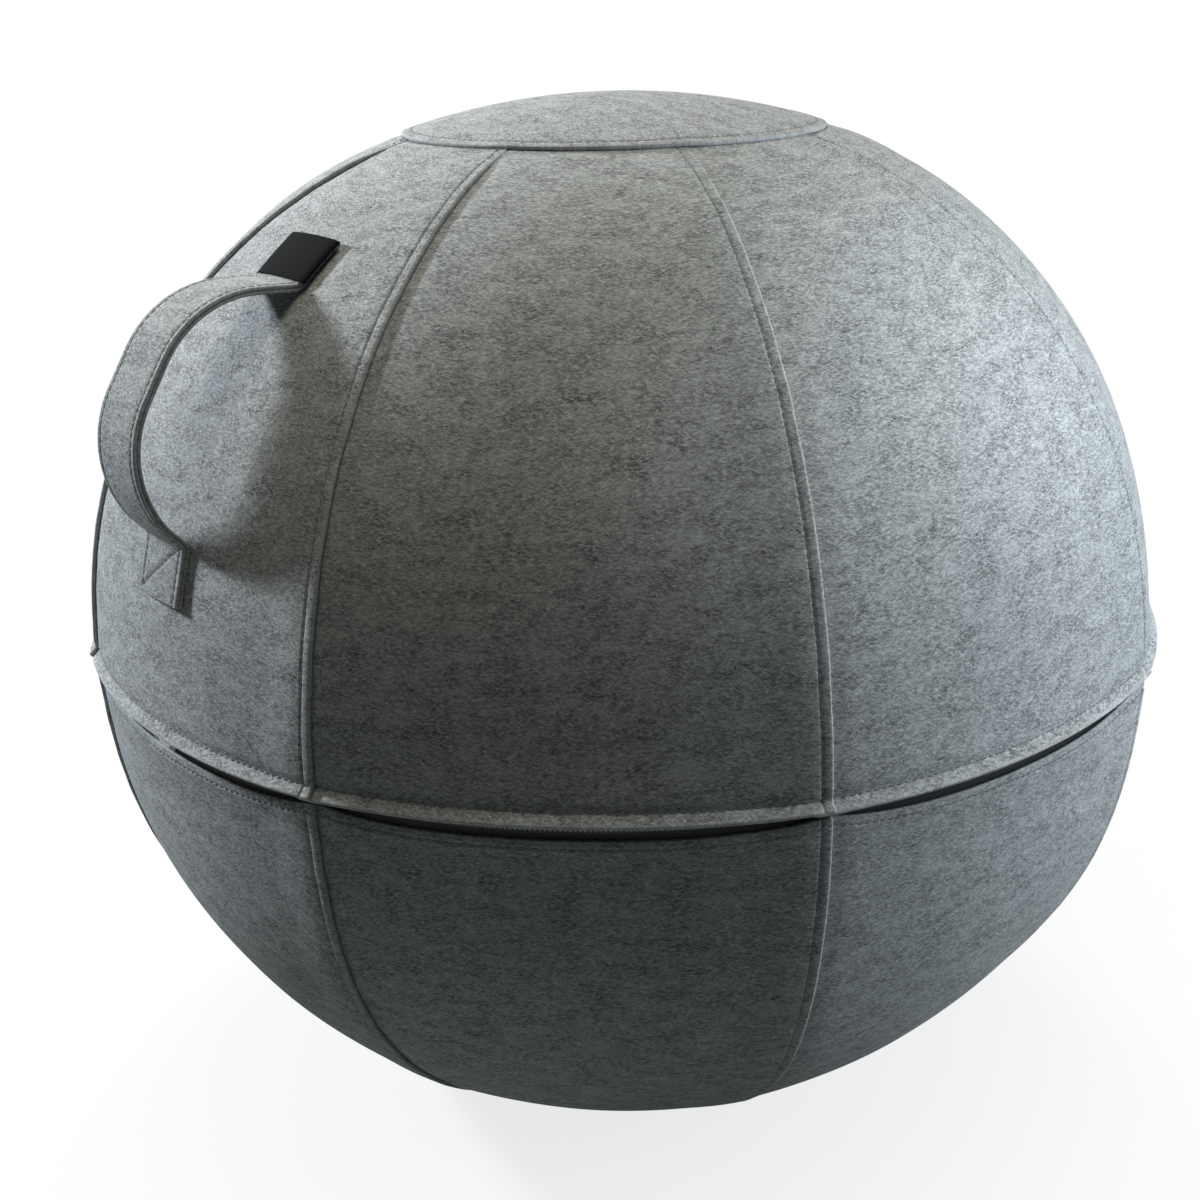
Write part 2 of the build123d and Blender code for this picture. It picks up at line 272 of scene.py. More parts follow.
def ring_angle(index):
    """Angle of a moulded ring from the valve's axis, spread on both sides of a right angle."""
    return pi / 2 + (index - (ring_count - 1) / 2) * ring_spacing / ball_radius


def bladder_point(angle, turn, depth, floor):
    """A point of the bladder's skin: angle from the valve's axis, which points to -Y, and turn about it."""
    ahead = Vector((sin(angle) * cos(turn), -cos(angle), sin(angle) * sin(turn)))
    nearest = min(abs(angle - ring_angle(index)) for index in range(ring_count)) * ball_radius
    dent = ring_depth * exp(-((nearest / (ring_width / 2)) ** 2))
    elevation = asin(max(-1.0, min(1.0, ahead.z)))
    place = ahead * (reach_inside(elevation, depth) - dent)
    fullness = gore_reach(elevation, degrees(atan2(ahead.x, -ahead.y)), abs(elevation) * ball_radius)
    height = max(floor, belt_height + place.z)
    return Vector((place.x * fullness, place.y * fullness, height)) * MM


def make_bladder():
    """The whole skin as a closed sheet, open only at the valve."""
    turns = [2 * pi * j / bladder_columns for j in range(bladder_columns)]
    layers = ((bladder_depth, bladder_floor), (bladder_depth + bladder_wall, bladder_floor + bladder_wall))
    angles = bladder_rings()
    faces = []
    centres = []
    for depth, floor in layers:
        faces.append([[bladder_point(angle, turn, depth, floor) for turn in turns] for angle in angles])
        centres.append(bladder_point(pi, 0, depth, floor))
    return closed_sheet("bladder_skin", faces[0], faces[1], ring=True, centres=centres)


bladder = make_bladder()
bladder.data.materials.append(soft_pvc())
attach(bladder, "ball")
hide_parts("bladder")

# Valve: a moulded polythene cup welded into the bladder, and the plug that is pressed into it.
# Both are rigid and keep their own solids.


def moulded_plastic(name, tint, shade):
    """Injection-moulded polythene: an even colour, a soft shine and the faint ripple of the mould."""
    ripple_size = 3.85 * MM
    finish = new_finish(name, 0.42, IOR=1.5)
    tree = finish[1]
    place = add_node(tree, "ShaderNodeTexCoord").outputs["Object"]
    ripple = add_node(tree, "ShaderNodeTexNoise", {}, {"Vector": place, "Scale": 1 / ripple_size}).outputs[0]
    return two_tone(finish, ripple, colour(tint), colour(shade), (ripple, 0.2, 0.05))


def dress(node, finish):
    """Gives a solid that keeps its shape its finish."""
    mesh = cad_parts[node].data
    mesh.materials.clear()
    mesh.materials.append(finish)


dress("valve_seat", moulded_plastic("moulded_polythene_grey", "#59636a", "#646e75"))
dress("valve_plug", moulded_plastic("moulded_polythene_white", "#d9dad6", "#e4e5e1"))

# Lower cover: eight felt panels, each lapped over the next along its right edge and sewn with one row.
# Their cut edges beside the zip are scooped out between the seams and sewn down on the zip's tape.
felt_thickness = 2.2
lap_rise = 1.5
lap_sink = 0.9
lap_sink_reach = 9.0
seam_lap = 9.0
seam_shift = 2.0
lap_ease = 28.0
lap_curl = 0.35
lap_edge_round = 0.9
raw_edge_width = 1.4
seam_stitch = 5.4
groove_depth = 0.6
groove_width = 0.7
disc_lap = 12.0
hem_run_in = 5.0
lower_edge = 2.4
lower_scoop = 6.0
lower_hem = 4.7
lower_flare = -0.9
lower_dip = -0.3
upper_edge = 1.3
upper_crease = 6.2
upper_flare = 4.0
upper_dip = 0.8
ripple_height = 0.7
ripple_length = 75.0
pucker_height = 0.3
pucker_length = 12.0
pucker_reach = 16.0
lap_edge_drop = 0.6
lap_flat_lead = 30.0
lap_flat_run = 25.0
lap_flat_share = 0.75
lower_lap_start = 190.0
lower_lap_run = 90.0
lower_lap_loss = 0.4
ripple_lead = 8.0
ripple_run = 40.0
hem_width = 4.8
hem_edge_share = 0.12
hem_edge_drop = 0.5
cloth_step = 0.7
cloth_half_step = 3.0


def meridian(along):
    """The felt's face at a length from the zip: distance out, height from the zip and tilt of its normal."""
    if along < side_length:
        centre, radius, tilt = side_centre, side_arc, along / side_arc
    elif along < side_length + shoulder_length:
        centre, radius, tilt = shoulder_centre, shoulder_arc, side_turn + (along - side_length) / shoulder_arc
    else:
        centre, radius = crown_centre, crown_arc
        tilt = shoulder_turn + (along - side_length - shoulder_length) / crown_arc
    return centre.x + radius * cos(tilt), centre.y + radius * sin(tilt), tilt


def hem(half, azimuth):
    """Heights from the zip of a panel's cut edge and of its sewn crease, how far the edge stands out from the
    ball, and how deep the crease lies."""
    if half > 0:
        return upper_edge, upper_crease, upper_flare, upper_dip
    across = (azimuth / gore_angle + 0.5) % 1.0
    edge = lower_edge + lower_scoop * (1 - (2 * across - 1) ** 4)
    return edge, edge + lower_hem, lower_flare, lower_dip


def skin(half, azimuth, zone, share):
    """A point of the felt without its laps: distance out, height from the zip, tilt, length from the zip."""
    edge, crease, flare, dip = hem(half, azimuth)
    if zone == "hem":
        lip = ball_radius + flare
        fold = meridian(crease)[0] - dip
        out = lip + (fold - lip) * share
        up = along = edge + (crease - edge) * share
        tilt = atan2(lip - fold, crease - edge) * (1 - ease(share) / 2)
    else:
        if zone == "run_in":
            along = crease + hem_run_in * share
        elif zone == "body":
            along = crease + hem_run_in + (rim_along - crease - hem_run_in) * share
        else:
            along = rim_along + disc_lap * share
        out, up, tilt = meridian(along)
        if zone == "run_in":
            out -= dip * (1 - ease(share))
    if half < 0:
        out -= groove_depth * exp(-(((along - crease) / groove_width) ** 2))
    return out * gore_reach(half, azimuth, along), up, tilt, along


def put(half, azimuth, out, up, tilt, lift):
    """A place in metres, lifted off the ball's face by so many millimetres, and the outward direction."""
    turn = radians(azimuth)
    across = Vector((sin(turn), -cos(turn), 0))
    away = across * cos(tilt) + Vector((0, 0, half * sin(tilt)))
    place = across * out + Vector((0, 0, belt_height + half * up)) + away * lift
    return place * MM, away


def lap_lift(from_edge):
    """Height of a panel's lapped edge over the ball, at a distance from that edge."""
    lift = lap_rise * (1 - ease((from_edge - seam_lap) / lap_ease))
    lift += lap_curl * max(0.0, 1 - from_edge / seam_stitch)
    lift -= lap_edge_drop * max(0.0, 1 - from_edge / lap_edge_round) ** 2
    return lift - groove_depth * exp(-(((from_edge - seam_stitch) / groove_width) ** 2))


def felt_lift(half, azimuth, along, out, from_right, from_left):
    """Everything that lifts the felt's face: the lap, puckers along the seams and slow ripples. Odd factors
    keep one seam's puckers unlike the next one's."""
    near = min(abs(from_right), abs(from_left))
    seam = round(azimuth / gore_angle + 0.5)
    pucker = noise.noise(Vector((along / pucker_length, seam * 7.3, half * 3.1))) * exp(-near / pucker_reach)
    turn = radians(azimuth)
    spot = Vector((out * sin(turn), -out * cos(turn), half * along)) / ripple_length
    flat = ease((along - rim_along + lap_flat_lead) / lap_flat_run)
    lap = lap_lift(from_right) * (1 - lap_flat_share * flat)
    if half < 0:
        lap *= 1 - lower_lap_loss * ease((along - lower_lap_start) / lower_lap_run)
    lap -= lap_sink * (1 - ease(from_left / lap_sink_reach)) * (1 - flat)
    ripple = ripple_height * noise.noise(spot) * ease((along - ripple_lead) / ripple_run)
    return lap + pucker_height * pucker + ripple


hem_shares = (0.0, 0.04, 0.1, 0.2, 0.35, 0.5, 0.65, 0.78, 0.88, 0.95, 1.0)
run_in_shares = (0.06, 0.12, 0.2, 0.32, 0.5, 0.75)
body_rows = 64
stations = [("hem", share) for share in hem_shares]
stations += [("run_in", share) for share in run_in_shares]
stations += [("body", i / body_rows) for i in range(body_rows + 1)]
stations += [("tuck", share) for share in (0.08, 0.3, 0.65, 1.0)]
left_offsets = (-9.0, -7.0, -4.5, -2.0, 0.0, 2.0, 5.0, 9.0, 14.0)
right_offsets = (
    (36.0, 28.0, 22.0, 17.0, 13.5, 11.0, 9.2, 8.2, 7.2, 6.6, 6.2, 5.8, 5.4)
    + (5.0, 4.6, 4.2, 3.6, 2.8, 2.0, 1.3, 0.9, 0.6, 0.35, 0.15, 0.0)
)
middle_columns = 24
edge_wander = 0.4
wander_length = 22.0


def panel_column(index, half, out, along, column):
    """Azimuth of one column of a panel at a row, and its distances to the right and left seams."""
    per_mm = degrees(1 / out)
    left = (index - 0.5) * gore_angle + seam_shift * per_mm
    right = left + gore_angle
    wander = edge_wander * noise.noise(Vector((along / wander_length, index * 5.7, half * 9.1)))
    if column < len(left_offsets):
        azimuth = left + left_offsets[column] * per_mm
    elif column < len(left_offsets) + middle_columns:
        share = (column - len(left_offsets) + 1) / (middle_columns + 1)
        start = left + left_offsets[-1] * per_mm
        azimuth = start + (right - right_offsets[0] * per_mm - start) * share
    else:
        from_edge = right_offsets[column - len(left_offsets) - middle_columns]
        return right - (from_edge + wander) * per_mm, from_edge, gore_angle / per_mm
    return azimuth, (right - azimuth) / per_mm, (azimuth - left) / per_mm


def raw_share(from_cut):
    """1 on a cut edge of the felt, falling to 0 a little way in."""
    return max(0.0, 1 - from_cut / raw_edge_width)


def panel_faces(half, index):
    """The outer and inner faces of one panel, where each point lay on the flat cloth, and its cut edges. Each
    panel is cut from its own place on the cloth."""
    faces = ([], [], [], [])
    columns = len(left_offsets) + middle_columns + len(right_offsets)
    for zone, share in stations:
        rough_out, _, _, rough_along = skin(half, index * gore_angle, zone, share)
        rows = ([], [], [], [])
        for column in range(columns):
            azimuth, from_right, from_left = panel_column(index, half, rough_out, rough_along, column)
            out, up, tilt, along = skin(half, azimuth, zone, share)
            lift = felt_lift(half, azimuth, along, out, from_right, from_left)
            from_cut = from_right
            if zone == "hem":
                lift -= hem_edge_drop * max(0.0, 1 - share / hem_edge_share) ** 2
                from_cut = min(from_right, share * hem_width)
            rows[0].append(put(half, azimuth, out, up, tilt, lift)[0])
            rows[1].append(put(half, azimuth, out, up, tilt, lift - felt_thickness)[0])
            across = radians(azimuth - index * gore_angle) * rough_out
            rows[2].append((across * MM + index * cloth_step + half * cloth_half_step, along * MM))
            rows[3].append(raw_share(from_cut))
        for face, row in zip(faces, rows):
            face.append(row)
    return faces


def wool_felt():
    """Needled wool-mix felt, grey melange: pale and dark fibres lie every way in short streaks, with a dull,
    slightly hairy face. Its cut edges are painted paler, a painted highlight where they catch the light.
    The fibres are drawn coarser than real ones, to show."""
    fibre_length = 4.5 * MM
    fibre_width = 1.0 * MM
    speck = 1.5 * MM
    cloud_length = 20.0 * MM
    cloud_width = 9.0 * MM
    cloud_turn = 5
    speck_part = 0.4
    # Share of the painted highlight mixed in along the cut edges.
    edge_highlight_part = 0.4
    finish = new_finish("wool_felt", 0.9, Specular_IOR_Level=0.04)
    tree = finish[1]
    place = add_node(tree, "ShaderNodeUVMap", {"uv_map": "cut"}).outputs[0]

    def streaks(length, width, turn, shift, detail, distortion):
        """A cloudy pattern drawn out along one direction of the flat cloth."""
        laid = {"Vector": place, "Location": (shift, 2 * shift, 0)}
        laid |= {"Rotation": (0, 0, radians(turn)), "Scale": (length, width, 1)}
        drawn = add_node(tree, "ShaderNodeMapping", {"vector_type": "TEXTURE"}, laid).outputs[0]
        grain = {"Vector": drawn, "Scale": 1.0, "Detail": detail, "Roughness": 0.65, "Distortion": distortion}
        return add_node(tree, "ShaderNodeTexNoise", {"noise_dimensions": "2D"}, grain).outputs[0]

    def fibres(kind, turns):
        """Short streaks laid in several directions, keeping the highest or the lowest at each place."""
        kept = None
        for turn in turns:
            streak = streaks(fibre_length, fibre_width, turn, turn * 0.01, 3.0, 0.0)
            if kept:
                pair = {0: kept, 1: streak}
                streak = add_node(tree, "ShaderNodeMath", {"operation": kind}, pair).outputs[0]
            kept = streak
        return kept

    pale = fibres("MAXIMUM", (3, -14, 21, -38))
    deep = fibres("MINIMUM", (-5, 11, -22, 35))
    clouds = streaks(cloud_length, cloud_width, cloud_turn, 0.0, 4.0, 0.4)
    dotted = {"Vector": place, "Scale": 1 / speck, "Detail": 2.0, "Roughness": 0.7}
    specks = add_node(tree, "ShaderNodeTexNoise", {"noise_dimensions": "2D"}, dotted).outputs[0]
    patterns = (
        (pale, 0.53, 0.73, 1.0),
        (deep, 0.48, 0.22, 0.7),
        (clouds, 0.3, 0.7, 1.0),
        (specks, 0.3, 0.7, 1.0),
    )
    shares = []
    for pattern, none, full, most in patterns:
        span = {"Value": pattern, "From Min": none, "From Max": full, "To Max": most}
        shares.append(add_node(tree, "ShaderNodeMapRange", {}, span).outputs[0])
    pale_share, deep_share, cloud_share, speck_share = shares
    mottle = {0: speck_part, 2: cloud_share, 3: speck_share}
    body = add_node(tree, "ShaderNodeMix", {"data_type": "FLOAT"}, mottle).outputs[0]
    tone = colour("#4e5051")
    for share, tint in ((body, "#c0c2c3"), (pale_share, "#d2d4d5"), (deep_share, "#4b4d4e")):
        mixed = {0: share, 6: tone, 7: colour(tint)}
        tone = add_node(tree, "ShaderNodeMix", {"data_type": "RGBA"}, mixed).outputs[2]
    # Cut edges painted paler: a painted highlight where the edges catch the light.
    raw_edge = add_node(tree, "ShaderNodeAttribute", {"attribute_name": "raw_edge"}).outputs["Fac"]
    paled = {0: raw_edge, 1: edge_highlight_part}
    painted_edge_highlight = add_node(tree, "ShaderNodeMath", {"operation": "MULTIPLY"}, paled).outputs[0]
    pile = add_node(tree, "ShaderNodeMath", {"operation": "ADD"}, {0: pale, 1: deep}).outputs[0]
    return two_tone(finish, painted_edge_highlight, tone, colour("#c2c4c5"), (pile, 0.35, 0.3))


felt = wool_felt()
panel_length = rim_along + disc_lap
slices = 60
panel_area = sum(
    (2 * pi * meridian(panel_length * (i + 0.5) / slices)[0] / panel_count + seam_lap) * panel_length / slices
    for i in range(slices)
)


def make_panels(half, word, body):
    """All eight panels of one half of the cover."""
    for index in range(panel_count):
        piece = closed_sheet(f"felt_{word}_{index + 1}", *panel_faces(half, index))
        piece.data.materials.append(felt)
        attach(piece, body)
        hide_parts(f"{word}_panel_{index + 1}")


make_panels(-1, "lower", "ball")

# Base disc: a round of ribbed non-slip cloth under the ball, lapped over the panels' lower ends.
# The ball's weight presses its middle flat on the floor.
base_cloth_thickness = 1.2
base_floor = 0.05
floor_softness = 1.5
floor_round = 0.2
disc_gap = 0.2
rim_steps = (0.0, 0.15, 0.4, 0.8, 1.4, 2.2, 3.2, 4.2, 5.0, 5.5, 6.0, 6.5, 7.0, 7.8, 9.0, 11.0, 14.0, 18.0)
disc_rings = 22
disc_columns = 192
disc_stitch = 6.0
top_bump = 0.4
base_bump = 0.3
bump_along = (4.0, 8.0)
bump_inward = (8.0, 10.0)


def disc_radii():
    """Radii of a disc's rings from near its middle to its cut edge."""
    inside = disc_radius - rim_steps[-1]
    radii = [inside * (i + 1) / disc_rings for i in range(disc_rings - 1)]
    return radii + [disc_radius - step for step in reversed(rim_steps)]


def disc_point(half, azimuth, radius, lift, bump):
    """A point on a disc and the outward direction; its edge rides up a little where it crosses a lap."""
    tilt = acos(radius / crown_arc)
    height = crown_centre.y + crown_arc * sin(tilt)
    off = (azimuth + gore_angle / 2) % gore_angle
    past = radians(min(off, gore_angle - off)) * radius
    beside = 1 - ease((past - bump_along[0]) / bump_along[1])
    inward = 1 - ease((disc_radius - radius - bump_inward[0]) / bump_inward[1])
    return put(half, azimuth, radius, height, tilt, lift + bump * beside * inward)


def disc_faces(half, thickness, bump):
    """The outer and inner faces of a disc, its flat cut, its cut edge, and its two middle points."""
    high = disc_gap + thickness
    turns = [360 * j / disc_columns for j in range(disc_columns)]
    outer, inner, cut, raw = [], [], [], []
    for radius in disc_radii():
        from_rim = disc_radius - radius
        edge = thickness / 4 * max(0.0, 1 - from_rim / lap_edge_round) ** 2
        groove = thickness / 4 * exp(-(((from_rim - disc_stitch) / groove_width) ** 2))
        outer.append([disc_point(half, turn, radius, high - edge - groove, bump)[0] for turn in turns])
        inner.append([disc_point(half, turn, radius, disc_gap, bump)[0] for turn in turns])
        cut.append([(radius * sin(radians(t)) * MM, radius * cos(radians(t)) * MM) for t in turns])
        raw.append([raw_share(from_rim)] * disc_columns)
    middles = [disc_point(half, 0, 0.0, lift, 0.0)[0] for lift in (high, disc_gap)]
    return outer, inner, cut, raw, middles


def pressed_flat(points, floor):
    """Keeps every point above a level floor, rounded where the cloth leaves it."""
    for row in points:
        for point in row:
            height = (point.z / MM - floor) / floor_softness
            point.z = (floor + floor_softness * (height + sqrt(height * height + floor_round)) / 2) * MM


def ribbed_cloth():
    """Woven polyester with a raised grid of rubbery dots: dark and dull."""
    dot_spacing = 4.0 * MM
    thread_spacing = 1.11 * MM
    finish = new_finish("ribbed_cloth", 0.85, Specular_IOR_Level=0.3)
    tree = finish[1]
    place = add_node(tree, "ShaderNodeUVMap", {"uv_map": "cut"}).outputs[0]
    grid = {"Vector": place, "Scale": 1 / dot_spacing, "Randomness": 0.0}
    dots = add_node(tree, "ShaderNodeTexVoronoi", {"voronoi_dimensions": "2D"}, grid).outputs[0]
    domed = {"Value": dots, "From Min": 0.38, "From Max": 0.28}
    raised = add_node(tree, "ShaderNodeMapRange", {}, domed).outputs[0]
    threads = {"Vector": place, "Scale": 1 / thread_spacing, "Detail": 2.0}
    weave = add_node(tree, "ShaderNodeTexNoise", {"noise_dimensions": "2D"}, threads).outputs[0]
    woven = {0: weave, 6: colour("#3c3e40"), 7: colour("#55585a")}
    cloth = add_node(tree, "ShaderNodeMix", {"data_type": "RGBA"}, woven).outputs[2]
    return two_tone(finish, raised, cloth, colour("#2a2b2c"), (raised, 0.6, 0.5))


base_outer, base_inner, base_cut, _, base_middles = disc_faces(-1, base_cloth_thickness, base_bump)
pressed_flat(base_outer + [base_middles[:1]], base_floor)
pressed_flat(base_inner + [base_middles[1:]], base_cloth_thickness)
base_disc = closed_sheet("base_cloth", base_outer, base_inner, base_cut, ring=True, centres=base_middles)
base_disc.data.materials.append(ribbed_cloth())
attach(base_disc, "ball")
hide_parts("base_disc")

# Zip: a black woven tape sewn behind each hem, with a nylon coil along its edge.
# It runs round all but the back of the ball, where a plain tape closes the seam.
tape_outer = 321.767
tape_thickness = 0.9
tape_low = 0.15
tape_width = 13.0
tape_round_height = 2.9
tape_follow_run = 4.0
zip_half_angle = 168.0
tape_columns = 240
tape_heights = (tape_low, 1.0, 2.0, tape_round_height, 4.0, 5.2, 6.5, 8.5, 11.0, tape_width)


def tape_point(half, azimuth, height, depth):
    """A point of a zip tape: round at the coil, and following the felt where it is sewn to it."""
    follow = (gore_reach(half, azimuth, height) - 1) * ease((height - tape_round_height) / tape_follow_run)
    return put(half, azimuth, (tape_outer - depth) * (1 + follow), height, 0.0, 0.0)[0]


def woven_ribs(finish, rib, direction, waver, dark, pale, relief):
    """Fine ribs across or along a woven band, from the width of a rib."""
    tree = finish[1]
    place = add_node(tree, "ShaderNodeUVMap", {"uv_map": "cut"}).outputs[0]
    bands = {"wave_type": "BANDS", "bands_direction": direction}
    spacing = {"Vector": place, "Scale": 1 / rib / pi, "Distortion": waver, "Detail": 1.0}
    ribs = add_node(tree, "ShaderNodeTexWave", bands, spacing).outputs[1]
    return two_tone(finish, ribs, colour(dark), colour(pale), (ribs, *relief))


def woven_tape():
    """Polyester zip tape, woven in fine ribs across its width: near black and dull."""
    rib = 0.9 * MM
    finish = new_finish("woven_tape", 0.8, Specular_IOR_Level=0.25)
    return woven_ribs(finish, rib, "X", 0.6, "#0a0b0c", "#191b1c", (0.5, 0.2))


tape_finish = woven_tape()


def tape_sheet(name, half, heights, first, last, columns):
    """A tape between two azimuths, with its flat cut."""
    turns = [first + (last - first) * j / columns for j in range(columns + 1)]
    faces = []
    for depth in (0.0, tape_thickness):
        faces.append([[tape_point(half, turn, height, depth) for turn in turns] for height in heights])
    cut = [[(radians(turn) * tape_outer * MM, height * MM) for turn in turns] for height in heights]
    piece = closed_sheet(name, *faces, cut)
    piece.data.materials.append(tape_finish)
    return piece


for half, word, body in ((1, "upper", "upper_cover"), (-1, "lower", "ball")):
    tape = tape_sheet(f"tape_{word}", half, tape_heights, -zip_half_angle, zip_half_angle, tape_columns)
    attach(tape, body)
    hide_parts(f"zip_tape_{word}")

# Coils: a nylon filament wound into teeth and sewn along the edge of each tape.
# The upper coil's teeth stand half a pitch along from the lower one's, so that they mesh.
coil_inner = 321.87
coil_outer = 323.7
coil_high = 2.85
coil_pitch = 2.4
coil_end = 167.5
coil_neck = 0.4
coil_section = ((0.0, 0.0), (1.0, 0.12), (1.0, 0.55), (0.72, 1.0), (0.3, 1.0), (0.0, 0.8))
coil_steps = ((0.0, 0.35), (0.22, 0.95), (0.5, 1.0), (0.78, 0.95))


def make_coil(half, word, body):
    """One coil as a single closed tube that swells at each tooth."""
    turns = int(2 * radians(coil_end) * coil_outer / coil_pitch)
    stagger = 0.5 if half > 0 else 0.0
    sides = len(coil_section)
    points, faces = [], []
    for tooth in range(turns):
        for phase, swell in coil_steps:
            azimuth = -coil_end + (tooth + phase + stagger) * 2 * coil_end / (turns + 1)
            for outward, height in coil_section:
                up = tape_low + (coil_high - tape_low) * (0.5 + (height - 0.5) * swell)
                thick = (coil_outer - coil_inner) * outward * (coil_neck + (1 - coil_neck) * swell)
                points.append(put(half, azimuth, coil_inner + thick, up, 0.0, 0.0)[0])
    rings = len(points) // sides
    for i in range(rings - 1):
        for j in range(sides):
            k = (j + 1) % sides
            faces.append((i * sides + j, i * sides + k, (i + 1) * sides + k, (i + 1) * sides + j))
    faces.append(tuple(range(sides)))
    faces.append(tuple(range((rings - 1) * sides, rings * sides)))
    piece = add_to_scene(f"coil_{word}", new_mesh(f"coil_{word}", points, faces, smooth=False))
    piece.data.materials.append(coil_finish)
    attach(piece, body)
    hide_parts(f"zip_coil_{word}")


coil_finish = moulded_plastic("drawn_nylon_black", "#141516", "#1d1f20")
make_coil(1, "upper", "upper_cover")
make_coil(-1, "lower", "ball")

# Seam tape: a strip of the same woven tape across the back, sewn to both halves of the cover.
# It stays closed when the zip is open, and is the cover's hinge.
seam_gap = 0.02
seam_rows = 16
seam_columns = 24
seam_heights = [-tape_width + 2 * tape_width * i / seam_rows for i in range(seam_rows + 1)]
seam_ends = (zip_half_angle + seam_gap, 360 - zip_half_angle - seam_gap)
seam_tape = tape_sheet("tape_back", 1, seam_heights, *seam_ends, seam_columns)
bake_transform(seam_tape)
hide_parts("seam_tape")

# Slider, pull and end stops: die-cast zinc, plated in dark nickel. The slider runs on both coils, with the
# pull hinged on it, and the stops are pressed on at the coils' ends. They keep their own solids.


def dark_nickel():
    """Black nickel plate on die-cast zinc: dark metal with a soft shine and fine tumbling marks."""
    mark_size = 0.8 * MM
    finish = new_finish("dark_nickel", 0.32, Metallic=1.0)
    _, tree, shader = finish
    place = add_node(tree, "ShaderNodeTexCoord").outputs["Object"]
    tumbled = {"Vector": place, "Scale": 1 / mark_size, "Detail": 4.0}
    marks = add_node(tree, "ShaderNodeTexNoise", {}, tumbled).outputs[0]
    dull = add_node(tree, "ShaderNodeMapRange", {}, {"Value": marks, "To Min": 0.24, "To Max": 0.42})
    tree.links.new(dull.outputs[0], shader.inputs["Roughness"])
    return two_tone(finish, marks, colour("#5a5b5e"), colour("#77787b"))


nickel = dark_nickel()
for node in ("zip_slider", "zip_pull", "zip_stops"):
    dress(node, nickel)

# Upper cover: eight felt panels like the lower ones, lapped and sewn in the same way.
# Their hems stand out over the zip and hide it.
make_panels(1, "upper", "upper_cover")

# Top disc: a round of the same felt, sewn over the upper ends of the panels.
# Its cut edge rides up a little where it crosses each lap.
*top_faces, top_middles = disc_faces(1, felt_thickness, top_bump)
top_disc = closed_sheet("felt_top_disc", *top_faces, ring=True, centres=top_middles)
top_disc.data.materials.append(felt)
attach(top_disc, "upper_cover")
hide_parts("top_disc")

# Handle: two plies of felt sewn together as a strap, bent into an arch and sewn down at both ends
# along the middle of the first panel.
strap_width = 43.0
strap_thickness = 4.2
strap_aside = 3.0
ply_gap = 0.1
lower_sewn_height = 106.0
lower_sewn_length = 33.0
upper_sewn_height = 226.0
upper_sewn_length = 32.0
arch_height = 50.5
lower_leg_lean = 15.0
upper_leg_lean = 30.0
arch_radius = 58.0
root_radius = 6.0
strap_clearance = 0.2
strap_step = 2.5
sewn_run = 20.0
arch_crown = 0.25


def surface_at(height):
    """Point at a height above the zip, lifted by the strap's clearance, and the outward direction."""
    if height < side_arc * sin(side_turn):
        centre, radius = side_centre, side_arc
    else:
        centre, radius = shoulder_centre, shoulder_arc
    tilt = asin((height - centre.y) / radius)
    away = Vector((cos(tilt), sin(tilt)))
    along = side_length + shoulder_arc * (tilt - side_turn) if tilt > side_turn else side_arc * tilt
    place = centre + away * radius
    return Vector((place.x * gore_reach(1, 0, along), place.y)) + away * strap_clearance, away


def rounded(points, radii, step):
    """Points at even steps along a line whose corners are rounded, each with its direction."""
    legs = []
    start = points[0]
    for i in range(1, len(points) - 1):
        before = (points[i] - points[i - 1]).normalized()
        after = (points[i + 1] - points[i]).normalized()
        turn = before.angle_signed(after)
        cut = radii[i - 1] * tan(abs(turn) / 2)
        legs.append(("line", start, points[i] - before * cut, before))
        side = -1.0 if turn > 0 else 1.0
        centre = points[i] - before * cut + Vector((-before.y, before.x)) * radii[i - 1] * side
        legs.append(("arc", centre, -turn, points[i] - before * cut, before))
        start = points[i] + after * cut
    legs.append(("line", start, points[-1], (points[-1] - start).normalized()))
    path = []
    for leg in legs:
        if leg[0] == "line":
            count = max(1, ceil((leg[2] - leg[1]).length / step))
            path += [(leg[1].lerp(leg[2], i / count), leg[3]) for i in range(count)]
        else:
            _, centre, turn, begin, ahead = leg
            count = max(3, ceil(abs(turn) * (begin - centre).length / step))
            for i in range(count):
                swing = Matrix.Rotation(turn * i / count, 2)
                path.append((centre + swing @ (begin - centre), swing @ ahead))
    path.append((points[-1], legs[-1][3]))
    return path


lower_end, lower_out = surface_at(lower_sewn_height - lower_sewn_length / 2)
upper_root, upper_out = surface_at(upper_sewn_height)
lower_up = Vector((-lower_out.y, lower_out.x))
upper_up = Vector((-upper_out.y, upper_out.x))
lower_root = lower_end + lower_up * (lower_sewn_length / 2)
chord = (upper_root - lower_root).normalized()
outwards = Vector((chord.y, -chord.x))
strap_path = rounded(
    [
        lower_end - lower_up * (lower_sewn_length / 2),
        lower_root,
        lower_root + chord * lower_leg_lean + outwards * arch_height,
        upper_root - chord * upper_leg_lean + outwards * arch_height,
        upper_root,
        upper_root + upper_up * upper_sewn_length,
    ],
    [root_radius, arch_radius, arch_radius, root_radius],
    strap_step,
)
strap_lengths = [0.0]
for (before, _), (after, _) in zip(strap_path, strap_path[1:]):
    strap_lengths.append(strap_lengths[-1] + (after - before).length)
strap_length = strap_lengths[-1]


def strap_at(length):
    """Point and direction of the strap's inner face at a length from its lower end."""
    index = 0
    while index < len(strap_lengths) - 2 and strap_lengths[index + 1] < length:
        index += 1
    share = (length - strap_lengths[index]) / (strap_lengths[index + 1] - strap_lengths[index])
    point = strap_path[index][0].lerp(strap_path[index + 1][0], share)
    ahead = strap_path[index][1].lerp(strap_path[index + 1][1], share).normalized()
    return point, ahead


